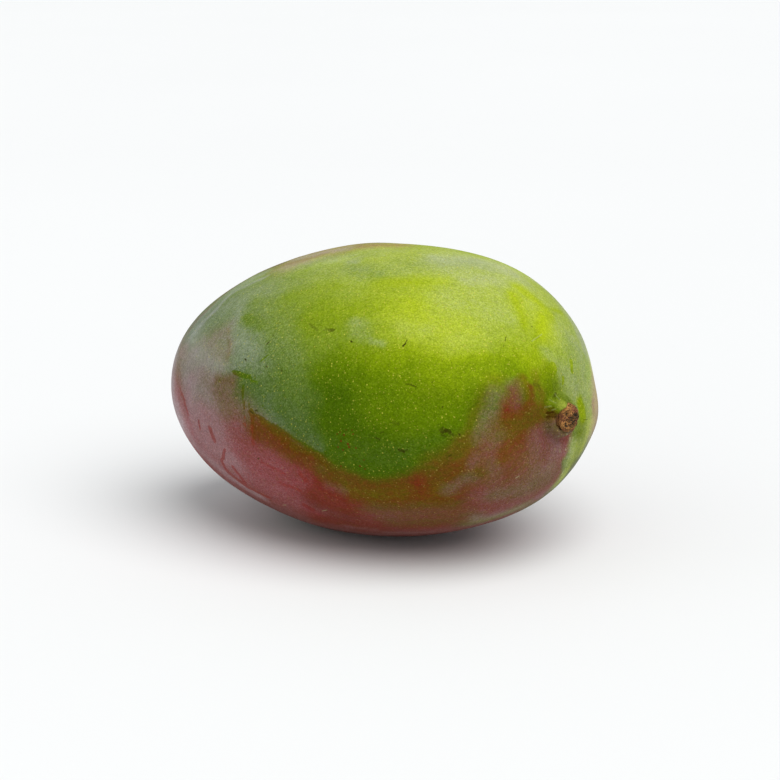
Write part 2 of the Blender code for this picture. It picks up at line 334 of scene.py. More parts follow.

# How much of the skin the pale bloom hides, from 0 to 1. Along the outline it is laid on thicker, partly as
# a painted sheen.
BLOOM_STROKES = (
    ("clean middle", (345, 395), (520, 395), 17, 8, 0),
    ("clean belly", (330, 480), (470, 480), 12, 8, 0),
    ("clean upper middle", (312, 320), (420, 310), 9, 8, 0.02),
    ("clean bottom", (320, 518), (450, 520), 5, 4, 0.03),
    # Along the limbs the bloom is thicker, partly as a painted sheen where the skin turns away
    ("left limb", (172, 350), (182, 425), 4.5, 4, 0.58),
    ("left end", (194, 335), (206, 425), 6.5, 7, 0.44),
    ("left end, upper", (200, 352), (220, 366), 4, 4, 0.47),
    ("left end, lower", (204, 402), (212, 430), 4, 4, 0.3),
    ("left cheek", (225, 332), (245, 350), 5.5, 6, 0.28),
    ("upper left", (215, 315), (262, 294), 4, 5, 0.26),
    ("upper left rim", (190, 330), (262, 274), 2.4, 3, 0.32),
    ("pale band", (190, 339), (217, 309), 0.8, 1.6, 0.54),
    ("pale band's middle", (217, 309), (237, 290), 0.9, 1.6, 0.5),
    ("pale band's top", (237, 290), (264, 279), 0.9, 1.4, 0.42),
    ("olive rim", (190, 330), (229, 289), 0.4, 0.8, 0.14),
    ("dull corner", (254, 302), (268, 312), 2.4, 3, 0.12),
    ("smudge on the upper left", (248, 318), (262, 326), 1.9, 1.2, 0.05),
    ("pale left of the smudge", (234, 330), (240, 306), 1.4, 1.6, 0.3),
    ("brown arc", (228, 331), (231, 343), 0.3, 0.7, 0.14),
    ("brown arc's foot", (231, 343), (229, 356), 0.3, 0.7, 0.16),
    ("pale below the smudge", (238, 342), (262, 348), 2.2, 2.4, 0.33),
    ("fading left cheek", (272, 322), (282, 360), 4, 6, 0.09),
    ("under the bar", (240, 385), (262, 392), 2.5, 3, 0.06),
    ("brown smudge on the left", (219, 380), (234, 382), 1.6, 2.2, 0.1),
    ("lower left", (203, 436), (226, 456), 6, 6, 0.33),
    ("lower left limb", (190, 438), (262, 497), 1.8, 2.6, 0.42),
    ("red belly", (246, 446), (292, 480), 5, 5, 0.115),
    ("dark belly", (318, 498), (345, 508), 3.5, 3, 0.02),
    ("above the edge", (284, 412), (312, 441), 2.6, 2.6, 0.055),
    ("pale tip above the edge", (310, 438), (318, 448), 0.9, 1.4, 0.12),
    ("below the edge", (255, 432), (318, 466), 2.8, 2.2, 0.01),
    ("close below the edge", (260, 425), (320, 461), 1.3, 0.6, 0),
    ("left of the bar", (284, 380), (300, 400), 4, 5, 0.05),
    ("clear upper left", (292, 298), (330, 288), 3.5, 4, 0.04),
    ("clear under the top", (385, 284), (440, 283), 2.6, 3.6, 0.02),
    ("top left band", (285, 268), (345, 257), 2.2, 3, 0.24),
    ("top left rim", (300, 258), (345, 249), 2, 3, 0.3),
    ("top smear", (350, 262), (362, 258), 1.2, 1.4, 0.26),
    ("pale square", (353, 262), (361, 262), 1, 0.9, 0.3),
    ("top middle", (368, 254), (430, 256), 1.8, 2.6, 0.16),
    ("top middle, lower", (395, 268), (425, 266), 1.4, 2.2, 0.13),
    ("upper right", (440, 260), (512, 272), 4.6, 5, 0.37),
    ("upper right, lower", (468, 281), (512, 286), 2.6, 3.4, 0.3),
    ("right of the lime", (450, 298), (508, 302), 4.5, 6, 0.14),
    ("under the lime", (455, 335), (490, 335), 2.5, 4, 0.07),
    ("lime smear", (402, 326), (424, 328), 2, 3, 0.08),
    ("pale smear", (351, 326), (362, 332), 1.8, 2.2, 0.13),
    ("pale lick", (371, 339), (380, 343), 0.6, 1, 0.16),
    ("pale edge above the wedge", (536, 279), (560, 301), 1.2, 1.6, 0.36),
    ("far shoulder", (566, 306), (583, 345), 2.8, 3.2, 0.36),
    ("right end", (573, 340), (582, 395), 3.4, 3.6, 0.21),
    # Along the right limb the bloom is thicker, partly as a painted sheen
    ("right limb", (588, 335), (598, 430), 1.8, 2.4, 0.46),
    ("pink right edge", (598, 392), (599, 420), 7, 4.5, 0.24),
    ("clean wedge", (520, 288), (549, 316), 2.4, 2, 0.02),
    ("clean wedge's left", (517, 296), (524, 326), 1.8, 2, 0.01),
    ("clean wedge's tip", (549, 309), (559, 311), 1, 1, 0.02),
    ("clean right lime", (540, 318), (540, 350), 2.8, 2.6, 0),
    ("pale fan", (545, 352), (556, 362), 1.8, 2, 0.12),
    ("clean above the stalk", (540, 368), (554, 378), 1.9, 1.6, 0.01),
    ("clean patch above the stalk", (548, 384), (556, 386), 1.2, 1.2, 0.01),
    ("grey right of the patch", (565, 374), (577, 394), 2.6, 2.4, 0.21),
    ("dark in the grey", (563, 380), (565, 392), 0.5, 1, 0.1),
    ("clean right of the stalk", (581, 404), (583, 420), 1.7, 1, -0.02),
    ("clean border", (425, 462), (478, 436), 2.6, 3, 0),
    ("pale band by the blush", (498, 394), (484, 436), 1.6, 2, 0.07),
    ("pink patch", (511, 386), (515, 400), 1.6, 2, 0.06),
    ("clean left of the stalk", (538, 384), (545, 412), 2.4, 2.2, 0),
    ("clean olive saddle", (512, 434), (534, 404), 3, 2.6, 0),
    ("mauve patch", (556, 434), (548, 464), 3, 3.6, 0.16),
    ("grey under the stub", (561, 437), (559, 450), 1.4, 2, 0.2),
    ("mauve patch, inner", (536, 440), (540, 460), 2.6, 3, 0.12),
    ("veil over the lower right", (492, 440), (496, 482), 2.4, 3.6, 0.07),
    ("clean red streak", (512, 440), (505, 458), 1.4, 2, 0.01),
    ("beige patch", (450, 488), (468, 479), 1.8, 2, 0.09),
    ("pale streak", (470, 464), (480, 457), 1.2, 1.6, 0.07),
    ("clean brown patch", (425, 482), (447, 468), 2.4, 1.6, 0),
    ("mottled lower right", (484, 494), (545, 484), 3.6, 4.4, 0.11),
    ("lower right edge", (478, 518), (545, 494), 1.8, 2.4, 0.22),
    ("green strip", (570, 446), (558, 482), 1.8, 1.8, 0.17),
    ("green limb below", (588, 440), (566, 486), 1.6, 1.8, 0.24),
    ("shade under the stalk", (556, 428), (564, 438), 1.4, 1.6, 0.08),
    ("strip's top", (574, 424), (580, 434), 1.8, 2, 0.03),
    ("purple smear at the bottom", (345, 526), (372, 529), 0.9, 1.4, 0.13),
    ("purple line at the bottom", (385, 532), (430, 532), 0.7, 1.2, 0.2),
    ("pale patch on the belly", (328, 486), (340, 491), 1.2, 1.8, 0.06),
    ("pale patch in the red", (292, 470), (299, 486), 1.4, 1.8, 0.08),
)

BLOOM_ELSEWHERE = 0.13

# How light the skin is, beside the rest of it: painted shade in the stalk's basin left of, above and under
# the stub, painted sheen and light along the outline and the top rim, and elsewhere the skin's own lighter
# and darker places
TONE_AND_PAINTED_LIGHT_STROKES = (
    ("left of the stalk", (518, 402), (545, 436), 5, 6, 0.82),
    ("above the stalk", (556, 388), (564, 400), 3, 3, 0.8),
    ("under the stub", (552, 426), (562, 434), 2.2, 2.4, 0.8),
    ("right below the stub", (574, 422), (577, 434), 1.8, 2.4, 0.8),
    ("yellower middle", (430, 396), (485, 402), 2.5, 3.5, 0.88),
    ("dark bottom", (312, 506), (345, 516), 3, 4, 0.86),
    ("left limb", (168, 348), (171, 420), 9.5, 6, 1.26),
    ("right edge", (598, 388), (599, 424), 8, 4, 1.55),
    ("upper left limb", (188, 323), (262, 275), 4, 4, 1.2),
    ("tan rim at the top", (298, 261), (328, 251), 8, 3, 1.45),
    ("red rim at the top", (368, 246), (396, 245), 4.5, 3, 1.35),
    ("green strip", (566, 456), (552, 488), 1.6, 2.4, 1.2),
    ("left of the lump", (549, 398), (553, 405), 1.4, 1.8, 0.84),
    ("top left", (296, 270), (340, 260), 2, 3, 1.14),
    ("top right", (440, 256), (520, 272), 3, 4, 1.1),
)

# How far noise moves the edges of strokes and of the green cheek: size, seed and reach of each noise
WANDER = (
    (9 * MM, 11, 1.6 * MM),
    (3 * MM, 12, 0.6 * MM),
)
SLIGHT_WANDER = ((2 * MM, 13, 0.35 * MM),)
SWAY = ((11 * MM, 14, 0.035),)  # its reach is in radians

# Behind the outline, the bloom and the painted sheen along the photograph's edge fade out, between two
# shares of the skin's normal that point at the camera
BEHIND_OUTLINE = (0.06, -0.18)

# On the far side, which the photograph doesn't show, the blush and the bloom vary in wide patches. They
# set in between two shares of the direction from the middle that point at the camera.
FAR_SIDE = (0.15, -0.35)
PATCH = 24 * MM
PATCH_EDGE = (0.0, 0.6)  # values of its noise
GREEN_PATCH_SEED = 15
PATCH_GREENNESS = 0.60
BLOOM_PATCH_SEED = 16
PATCH_BLOOM = 0.12

# Where the bloom is wiped off sharply
WIPED_STROKES = (
    ("bar", (233, 372), (250, 377), 0.45, 0.8, 1),
    ("bar's end", (251, 380), (257, 383), 0.35, 0.7, 0.8),
    ("drip", (243, 386), (244, 408), 0.5, 0.8, 0.8),
    ("thin drip", (248, 400), (251, 412), 0.15, 0.5, 0.9),
    ("blot", (252, 412), (254, 438), 0.7, 0.9, 0.9),
    ("edge", (250, 411), (263, 420), 0.3, 0.7, 1),
    ("edge's middle", (263, 420), (282, 431), 0.55, 0.7, 1),
    ("long edge", (282, 431), (322, 455), 0.4, 0.8, 1),
    ("thin line above the edge", (262, 405), (277, 425), 0.1, 0.45, 0.9),
    ("short streak", (259, 363), (266, 356), 0.12, 0.5, 0.9),
    ("short streak's end", (266, 356), (275, 350), 0.1, 0.5, 0.7),
    ("patch above the stalk", (546, 375), (553, 368), 1.6, 0.8, 1),
    ("patch's foot", (547, 380), (550, 390), 1.3, 0.8, 1),
    ("small patch", (571, 361), (572, 371), 0.7, 0.8, 0.8),
    ("smaller patch", (563, 378), (563, 383), 0.5, 0.7, 0.8),
    ("patch right of the stub", (581, 408), (584, 418), 1.3, 0.8, 1),
)

# Rubbed marks where the blush shows red
RUBBED_STROKES = (
    ("long scrape", (180, 388), (185, 403), 1, 1.4, 0.62),
    ("long scrape's end", (185, 403), (188, 414), 0.8, 1.2, 0.58),
    ("dash", (199, 421), (200, 429), 0.6, 1.2, 0.7),
    ("blot", (210, 429), (214, 439), 1.3, 1.4, 0.75),
    ("crescent's top", (225, 449), (222, 462), 0.35, 0.8, 0.9),
    ("crescent's start", (222, 462), (228, 472), 0.7, 0.8, 1),
    ("crescent", (228, 472), (246, 486), 1.1, 1, 1),
    ("crescent's foot", (246, 486), (270, 498), 0.55, 0.9, 1),
    ("crescent's branch", (233, 467), (245, 482), 0.75, 0.8, 1),
    ("dot over the line", (245, 417), (245, 419), 0.1, 0.6, 0.8),
    ("dot beside the line", (244, 424), (245, 425), 0.35, 0.6, 1),
    ("line", (252, 418), (253, 445), 0.6, 0.9, 0.65),
    ("spot", (301, 475), (306, 480), 1, 1.4, 0.75),
    ("crimson blot", (306, 506), (313, 510), 0.8, 1.6, 0.9),
    ("red streaks in the belly", (280, 483), (300, 490), 0.6, 1.4, 0.65),
    ("red streaks, upper", (262, 462), (284, 474), 0.5, 1.2, 0.6),
)

# Small dark scars: their two ends, radius in millimetres, and how dark they are
SCARS = (
    ((329, 330), (332, 329), 0.34, 0.55),
    ((331, 331), (334, 330), 0.36, 0.62),
    ((324, 330), (328, 329), 0.3, 0.3),
    ((310, 324), (317, 330), 0.4, 0.3),
    ((351, 341), (352, 342), 0.2, 0.9),
    ((403, 346), (405, 344), 0.24, 0.95),
    ((405, 344), (407, 340), 0.14, 0.8),
    ((407, 384), (411, 384), 0.3, 0.35),
    ((411, 385), (416, 387), 0.22, 0.62),
    ((408, 391), (411, 393), 0.3, 0.25),
    ((440, 430), (443, 428), 0.36, 0.5),
    ((442, 432), (446, 431), 0.52, 0.72),
    ((446, 430), (450, 432), 0.5, 0.68),
    ((450, 433), (453, 435), 0.4, 0.45),
    ((442, 435), (445, 436), 0.4, 0.45),
    ((459, 434), (460, 435), 0.2, 0.9),
    ((451, 440), (452, 440), 0.16, 0.8),
    ((399, 450), (401, 451), 0.36, 0.7),
    ((402, 450), (404, 452), 0.36, 0.66),
    ((404, 451), (407, 450), 0.3, 0.45),
    ((393, 422), (398, 424), 0.45, 0.3),
    ((376, 438), (379, 439), 0.3, 0.55),
    ((381, 433), (383, 432), 0.24, 0.4),
    ((505, 341), (506, 337), 0.12, 0.75),
    ((503, 347), (504, 345), 0.14, 0.4),
    ((532, 326), (532, 327), 0.16, 0.8),
    ((451, 363), (452, 363), 0.14, 0.4),
    ((245, 359), (246, 360), 0.26, 0.9),
    ((267, 344), (269, 342), 0.22, 0.75),
    ((266, 366), (267, 367), 0.22, 0.75),
    ((273, 335), (273, 336), 0.2, 0.55),
    ((281, 370), (282, 371), 0.2, 0.5),
    ((250, 411), (253, 413), 0.22, 0.7),
    ((255, 411), (257, 410), 0.2, 0.8),
    ((258, 459), (259, 458), 0.24, 0.7),
    ((252, 484), (253, 484), 0.2, 0.5),
    ((534, 384), (538, 385), 0.5, 0.3),
    ((539, 386), (540, 390), 0.4, 0.26),
    ((554, 397), (556, 393), 0.34, 0.55),
    ((583, 419), (585, 420), 0.1, 0.6),
    ((585, 420), (588, 419), 0.1, 0.7),
    ((442, 408), (443, 406), 0.16, 0.7),
    ((449, 456), (451, 455), 0.2, 0.6),
    ((432, 382), (432, 383), 0.14, 0.6),
    ((362, 250), (363, 250), 0.2, 0.5),
    ((432, 250), (433, 250), 0.2, 0.8),
)

# Small red dots in the green, where the blush begins
RED_DOTS = (
    ((340, 432), 0.22),
    ((337, 434), 0.2),
    ((344, 435), 0.28),
    ((353, 434), 0.25),
    ((341, 441), 0.31),
    ((348, 444), 0.36),
    ((349, 447), 0.36),
    ((356, 448), 0.25),
    ((343, 450), 0.28),
    ((338, 447), 0.25),
    ((341, 466), 0.31),
    ((360, 466), 0.28),
    ((365, 469), 0.25),
    ((364, 460), 0.2),
    ((352, 430), 0.17),
    ((346, 430), 0.17),
)

# The dark patch left of the stalk, and pale lines that run from the stalk
DARK_STRIPES = (
    ((549, 414), (554, 414), 0.95, 0.6),
    ((547, 417), (555, 417), 0.35, 0.75),
    ((547, 413), (553, 412), 0.3, 0.8),
    ((549, 409), (553, 408), 0.3, 0.5),
)
PALE_LINES = (
    ((545, 407), (551, 406), 0.2, 0.15),
    ((552, 410), (556, 409), 0.16, 0.15),
    ((550, 400), (556, 403), 0.2, 0.15),
    ((555, 394), (560, 400), 0.2, 0.18),
    ((559, 436), (555, 450), 0.24, 0.26),
    ((563, 437), (560, 452), 0.24, 0.26),
    ((322, 511), (327, 510), 0.14, 0.45),
    ((283, 505), (286, 505), 0.12, 0.6),
    ((516, 478), (519, 476), 0.14, 0.5),
    ((532, 341), (542, 334), 0.18, 0.25),
    ((570, 438), (562, 474), 0.28, 0.55),
    ((573, 437), (566, 466), 0.22, 0.4),
    ((576, 440), (563, 484), 0.26, 0.5),
    ((567, 434), (566, 450), 0.22, 0.5),
    ((581, 438), (571, 470), 0.24, 0.4),
    ((586, 436), (575, 468), 0.3, 0.45),
    ((591, 430), (590, 444), 0.3, 0.3),
)


def unit(vectors):
    vectors = np.asarray(vectors, float)
    return vectors / np.linalg.norm(vectors, axis=-1, keepdims=True)


def smooth_step(edge_0, edge_1, value):
    """0 at edge_0, 1 at edge_1, and smooth between, for arrays."""
    share = np.clip((value - edge_0) / (edge_1 - edge_0), 0, 1)
    return share * share * (3 - 2 * share)


def noise_at(points, size, seed, kind=noise.noise):
    """Smooth noise between about -1 and 1 at each point, with features of a given size."""
    offset = Vector([seed * step for step in SEED_STEPS])
    return np.array([kind(Vector(point) / size + offset) for point in points])


def wandering(points, noises):
    """How far noises of (size, seed, reach) move each point."""
    return sum(noise_at(points, size, seed, noise.noise_vector) * reach for size, seed, reach in noises)


def outward(directions):
    return unit(directions / np.array((LENGTH, WIDTH, HEIGHT)))


def body_points(directions):
    """The smooth fruit, without its basin, for directions on the unit sphere."""
    along, side, up = directions.T
    across = 1 - along**2
    fullness = 1 + TAPER * along + SHOULDER_FULLNESS * along**3
    sideways = (SIDEWAYS_BOW + SIDEWAYS_SKEW * along) * across
    upward = (SAG + STALK_END_RISE * along) * across
    points = np.stack(
        (
            LENGTH / 2 * along,
            WIDTH / 2 * (side * fullness + sideways),
            HEIGHT / 2 * (up * fullness + upward),
        ),
        axis=1,
    )
    for centre, spread, height in SWELLINGS:
        off = angle_from(directions, centre) / spread
        points += outward(directions) * (height * np.exp(-(off**2)))[:, None]
    return points


def angle_from(directions, centre):
    return np.arccos(np.clip(directions @ unit(centre), -1, 1))


STALK_SEAT = body_points(unit([STALK_DIRECTION]))[0]
STALK_UP = unit(STALK_AXIS)
STALK_SIDE = unit(np.cross((0, 0, 1), STALK_UP))
STALK_TOP = np.cross(STALK_UP, STALK_SIDE)


def round_the_stalk(points):
    """Height above the stalk's seat, distance from the stalk's axis, and the two ways across it."""
    away = points - STALK_SEAT
    side = away @ STALK_SIDE
    top = away @ STALK_TOP
    return away @ STALK_UP, np.hypot(side, top), side, top


def stalk_relief(points):
    """How far the basin, its ribs, the collar and the socket move points of the body along the stalk."""
    height, distance, side, top = round_the_stalk(points)
    flat = points - STALK_SEAT - height[:, None] * STALK_UP
    basin = -BASIN_DEPTH * np.exp(-((distance / BASIN_RADIUS) ** 2))
    rib_fade = np.exp(-(((distance - RIB_RADIUS) / RIB_SPREAD) ** 2))
    ribs = RIB_HEIGHT * rib_fade * np.cos(RIB_COUNT * np.arctan2(flat[:, 2], flat[:, 1]) + RIB_TURN)
    ground = height + basin + ribs
    on_collar = smooth_step(COLLAR_FOOT_RADIUS, COLLAR_TOP_RADIUS, distance)
    ground += (COLLAR_STANDS - ground) * on_collar
    for turn, radius, spread, lump in COLLAR_LUMPS:
        turn = math.radians(turn)
        off = np.hypot(side - radius * math.cos(turn), top - radius * math.sin(turn)) / spread
        ground += lump * np.exp(-(off**2))
    in_socket = smooth_step(SOCKET_RADIUS + SOCKET_LIP, SOCKET_RADIUS, distance)
    ground += (COLLAR_STANDS - SOCKET_DEPTH - ground) * in_socket
    return ground - height


def skin_points(directions):
    """The whole skin, with its basin, collar, tip and fine unevenness."""
    points = body_points(directions)
    near_stalk = directions @ unit(STALK_DIRECTION) > 0
    relief = stalk_relief(points)
    points[near_stalk] += relief[near_stalk, None] * STALK_UP

    normal = outward(directions)
    from_tip = angle_from(directions, TIP_DIRECTION) * LENGTH / 2
    dent = TIP_DENT_DEPTH * np.exp(-((from_tip / TIP_DENT_RADIUS) ** 2))
    scar = TIP_SCAR_HEIGHT * np.exp(-((from_tip / TIP_SCAR_RADIUS) ** 2))
    points += normal * (scar - dent)[:, None]

    distance = round_the_stalk(points)[1]
    calm = np.where(near_stalk, smooth_step(COLLAR_TOP_RADIUS, BASIN_RADIUS, distance), 1)
    for number, (size, height) in enumerate(UNDULATIONS):
        waves = noise_at(points, size, number)
        points += normal * (height * waves * calm)[:, None]
    return points


def polar_and_turn(sphere):
    """For points on the unit sphere, the share of the way from its upper pole, and the turn in radians."""
    polar = np.arccos(np.clip(sphere[:, 2], -1, 1)) / math.pi
    return polar, np.arctan2(sphere[:, 1], sphere[:, 0])


def skin_directions(sphere):
    """Directions for the vertices of a ball whose pole is on +Z, turned onto the stalk."""
    polar, turn = polar_and_turn(sphere)
    crowded = math.pi * (RING_EVENNESS * polar + (1 - RING_EVENNESS) * polar**RING_CROWDING)
    directions = np.stack(
        (np.sin(crowded) * np.cos(turn), np.sin(crowded) * np.sin(turn), np.cos(crowded)), axis=1
    )
    to_stalk = Vector((0, 0, 1)).rotation_difference(Vector(unit(STALK_DIRECTION)))
    return directions @ np.array(to_stalk.to_matrix()).T


def ball(name, segments, rings):
    bpy.ops.mesh.primitive_uv_sphere_add(segments=segments, ring_count=rings, radius=1)
    made = bpy.context.object
    made.name = name
    made.data.name = name
    made.data.shade_smooth()
    return made


def vertices_of(obj):
    flat = np.empty(3 * len(obj.data.vertices), np.float32)
    obj.data.vertices.foreach_get("co", flat)
    return flat.reshape(-1, 3).astype(float)


def normals_of(obj):
    flat = np.empty(3 * len(obj.data.vertices), np.float32)
    obj.data.vertex_normals.foreach_get("vector", flat)
    return flat.reshape(-1, 3).astype(float)


def move_vertices(obj, points):
    obj.data.vertices.foreach_set("co", points.astype(np.float32).ravel())
    obj.data.update()


def place_on_frame(points):
    """How the fruit's own middle lies in the frame, from the frame's fruit."""
    low, high = (np.array(corner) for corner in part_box("fruit"))
    middle_y = (low[1] + high[1]) / 2 - (points[:, 1].min() + points[:, 1].max()) / 2
    return np.array((low[0] - points[:, 0].min(), middle_y, high[2] - points[:, 2].max()))


def build_skin():
    skin = ball("mango_skin", SKIN_SEGMENTS, SKIN_RINGS)
    directions = skin_directions(vertices_of(skin))
    points = skin_points(directions)
    middle = place_on_frame(points)
    points += middle
    points[:, 2] = np.maximum(points[:, 2], 0)
    move_vertices(skin, points)
    return skin, directions, middle


def camera_axes():
    """The camera's backward, rightward and upward directions."""
    right = np.array((math.cos(CAMERA_AZIMUTH), math.sin(CAMERA_AZIMUTH), 0))
    level = np.cross(right, (0, 0, 1))
    back = level * math.cos(CAMERA_ELEVATION) + np.array((0, 0, math.sin(CAMERA_ELEVATION)))
    return back, right, np.cross(back, right)


def build_camera(middle):
    back, right, up = camera_axes()
    data = bpy.data.cameras.new("camera")
    data.lens = LENS
    data.sensor_width = SENSOR_WIDTH
    data.clip_start = CLIP_START
    data.clip_end = CLIP_END
    camera = bpy.data.objects.new("camera", data)
    camera.location = middle + back * CAMERA_DISTANCE + right * CAMERA_ACROSS + up * CAMERA_UP
    camera.rotation_mode = "QUATERNION"
    camera.rotation_quaternion = Vector(-back).to_track_quat("-Z", "Y")
    bpy.context.scene.collection.objects.link(camera)
    bpy.context.scene.camera = camera
    return camera


class SkinSeen:
    """Finds the point of the skin that the photograph shows at a pixel."""

    def __init__(self, skin, camera):
        bpy.context.view_layer.update()
        self.skin = skin
        self.eye = camera.location.copy()
        self.axes = camera_axes()

    def at(self, pixel):
        """The point seen at a pixel, or at the outline's edge if the pixel lies just outside it."""
        back, right, up = self.axes
        for inward in range(OUTLINE_SLACK):
            x, y = np.array(pixel) + inward * unit(np.array(FRUIT_MIDDLE) - pixel)
            x, y = x - PHOTO_SIZE / 2, PHOTO_SIZE / 2 - y
            ray = Vector(right * x + up * y - back * PIXELS_FOCAL).normalized()
            hit, place, _, _ = self.skin.ray_cast(self.eye, ray)
            if hit:
                return np.array(place)
        raise ValueError(f"no skin is seen near pixel {pixel}")


def distance_to_stroke(points, start, end):
    length = end - start
    share = (points - start) @ length / max(length @ length, SHORTEST**2)
    return np.linalg.norm(points - start - np.clip(share, 0, 1)[:, None] * length, axis=1)


def paint(values, points, strokes, seen):
    """Lays strokes over values, one after another."""
    for _, start, end, radius, softness, target in strokes:
        distance = distance_to_stroke(points, seen.at(start), seen.at(end))
        inside = smooth_step((radius + softness) * MM, max(radius - softness, 0) * MM, distance)
        values = values + (target - values) * inside
    return values


def green_cheek(directions, middle_direction):
    """0 on the green cheek and 1 beyond its edge."""
    turns, reaches, widths = np.array(GREEN_CHEEK_EDGE, float).T
    _, right, _ = camera_axes()
    across = unit(right - (right @ middle_direction) * middle_direction)
    upward = np.cross(middle_direction, across)
    turn = np.degrees(np.arctan2(directions @ upward, directions @ across)) % 360
    reach = np.interp(turn, turns, reaches, period=360)
    width = np.interp(turn, turns, widths, period=360)
    away = np.degrees(angle_from(directions, middle_direction))
    return smooth_step(reach - width, reach + width, away)


def direction_of(point, directions, points):
    """The direction of the vertex nearest to a point of the skin."""
    return directions[np.argmin(np.linalg.norm(points - point, axis=1))]


def store(obj, name, values):
    made = obj.data.attributes.new(name, "FLOAT", "POINT")
    made.data.foreach_set("value", values.astype(np.float32))


def green_of_collar(points, directions):
    """1 on the large lump of the collar and 0 round it."""
    _, _, side, top = round_the_stalk(points)
    near_stalk = directions @ unit(STALK_DIRECTION) > 0
    from_lump = np.hypot(side - COLLAR_LUMP_AT[0], top - COLLAR_LUMP_AT[1])
    return np.where(near_stalk, smooth_step(COLLAR_LUMP_FOOT, COLLAR_LUMP_TOP, from_lump), 0)


def paint_skin(skin, directions, middle, seen):
    """Stores on the skin how red, crimson, ripe, bloomed, wiped and rubbed each place is, and its tone with
    painted light and shade.
    """
    points = vertices_of(skin)
    plain = np.ones(len(points))
    wavy = points + wandering(points, WANDER)
    near = points + wandering(points, SLIGHT_WANDER)
    swayed = unit(directions + wandering(points, SWAY))
    towards_camera = camera_axes()[0]
    far = smooth_step(*FAR_SIDE, directions @ towards_camera)
    behind = smooth_step(*BEHIND_OUTLINE, normals_of(skin) @ towards_camera)

    cheek_middle = direction_of(seen.at(GREEN_CHEEK_MIDDLE), directions, points)
    blush = paint(green_cheek(swayed, cheek_middle), wavy, BLUSH_STROKES, seen)
    green_patches = smooth_step(*PATCH_EDGE, noise_at(points, PATCH, GREEN_PATCH_SEED))
    store(skin, "blush", blush * (1 - far * PATCH_GREENNESS * green_patches))
    store(skin, "crimson", paint(plain * CRIMSON_ELSEWHERE, wavy, CRIMSON_STROKES, seen))
    # Ripeness rises upwards, partly the skin's own colour and partly painted light from above
    ripe_and_light_rising = np.clip(RIPE_MIDDLE + swayed @ RIPE_AND_LIGHT_RISE, 0, RIPEST)
    store(skin, "ripe", paint(ripe_and_light_rising, wavy, RIPENESS_STROKES, seen))

    bloom = paint(plain * BLOOM_ELSEWHERE, wavy, BLOOM_STROKES, seen)
    # The bloom and the painted sheen laid along the outline fade out behind it
    bloom += (BLOOM_ELSEWHERE - bloom) * behind
    bloom += far * PATCH_BLOOM * noise_at(points, PATCH, BLOOM_PATCH_SEED)
    store(skin, "bloom", np.maximum(bloom, 0))
    # The tone holds painted shade round the stub and painted sheen along the outline, and fades out behind
    # the outline
    tone_and_painted_light = paint(plain, wavy, TONE_AND_PAINTED_LIGHT_STROKES, seen)
    store(skin, "tone_and_painted_light", tone_and_painted_light + (1 - tone_and_painted_light) * behind)
    store(skin, "wiped", paint(0 * plain, near, WIPED_STROKES, seen))
    store(skin, "rubbed", paint(0 * plain, near, RUBBED_STROKES, seen))
    store(skin, "collar", green_of_collar(points - middle, directions))


# The mix node's sockets for colours
MIX_SHARE = 0
MIX_FROM = 6
MIX_TO = 7
MIX_RESULT = 2


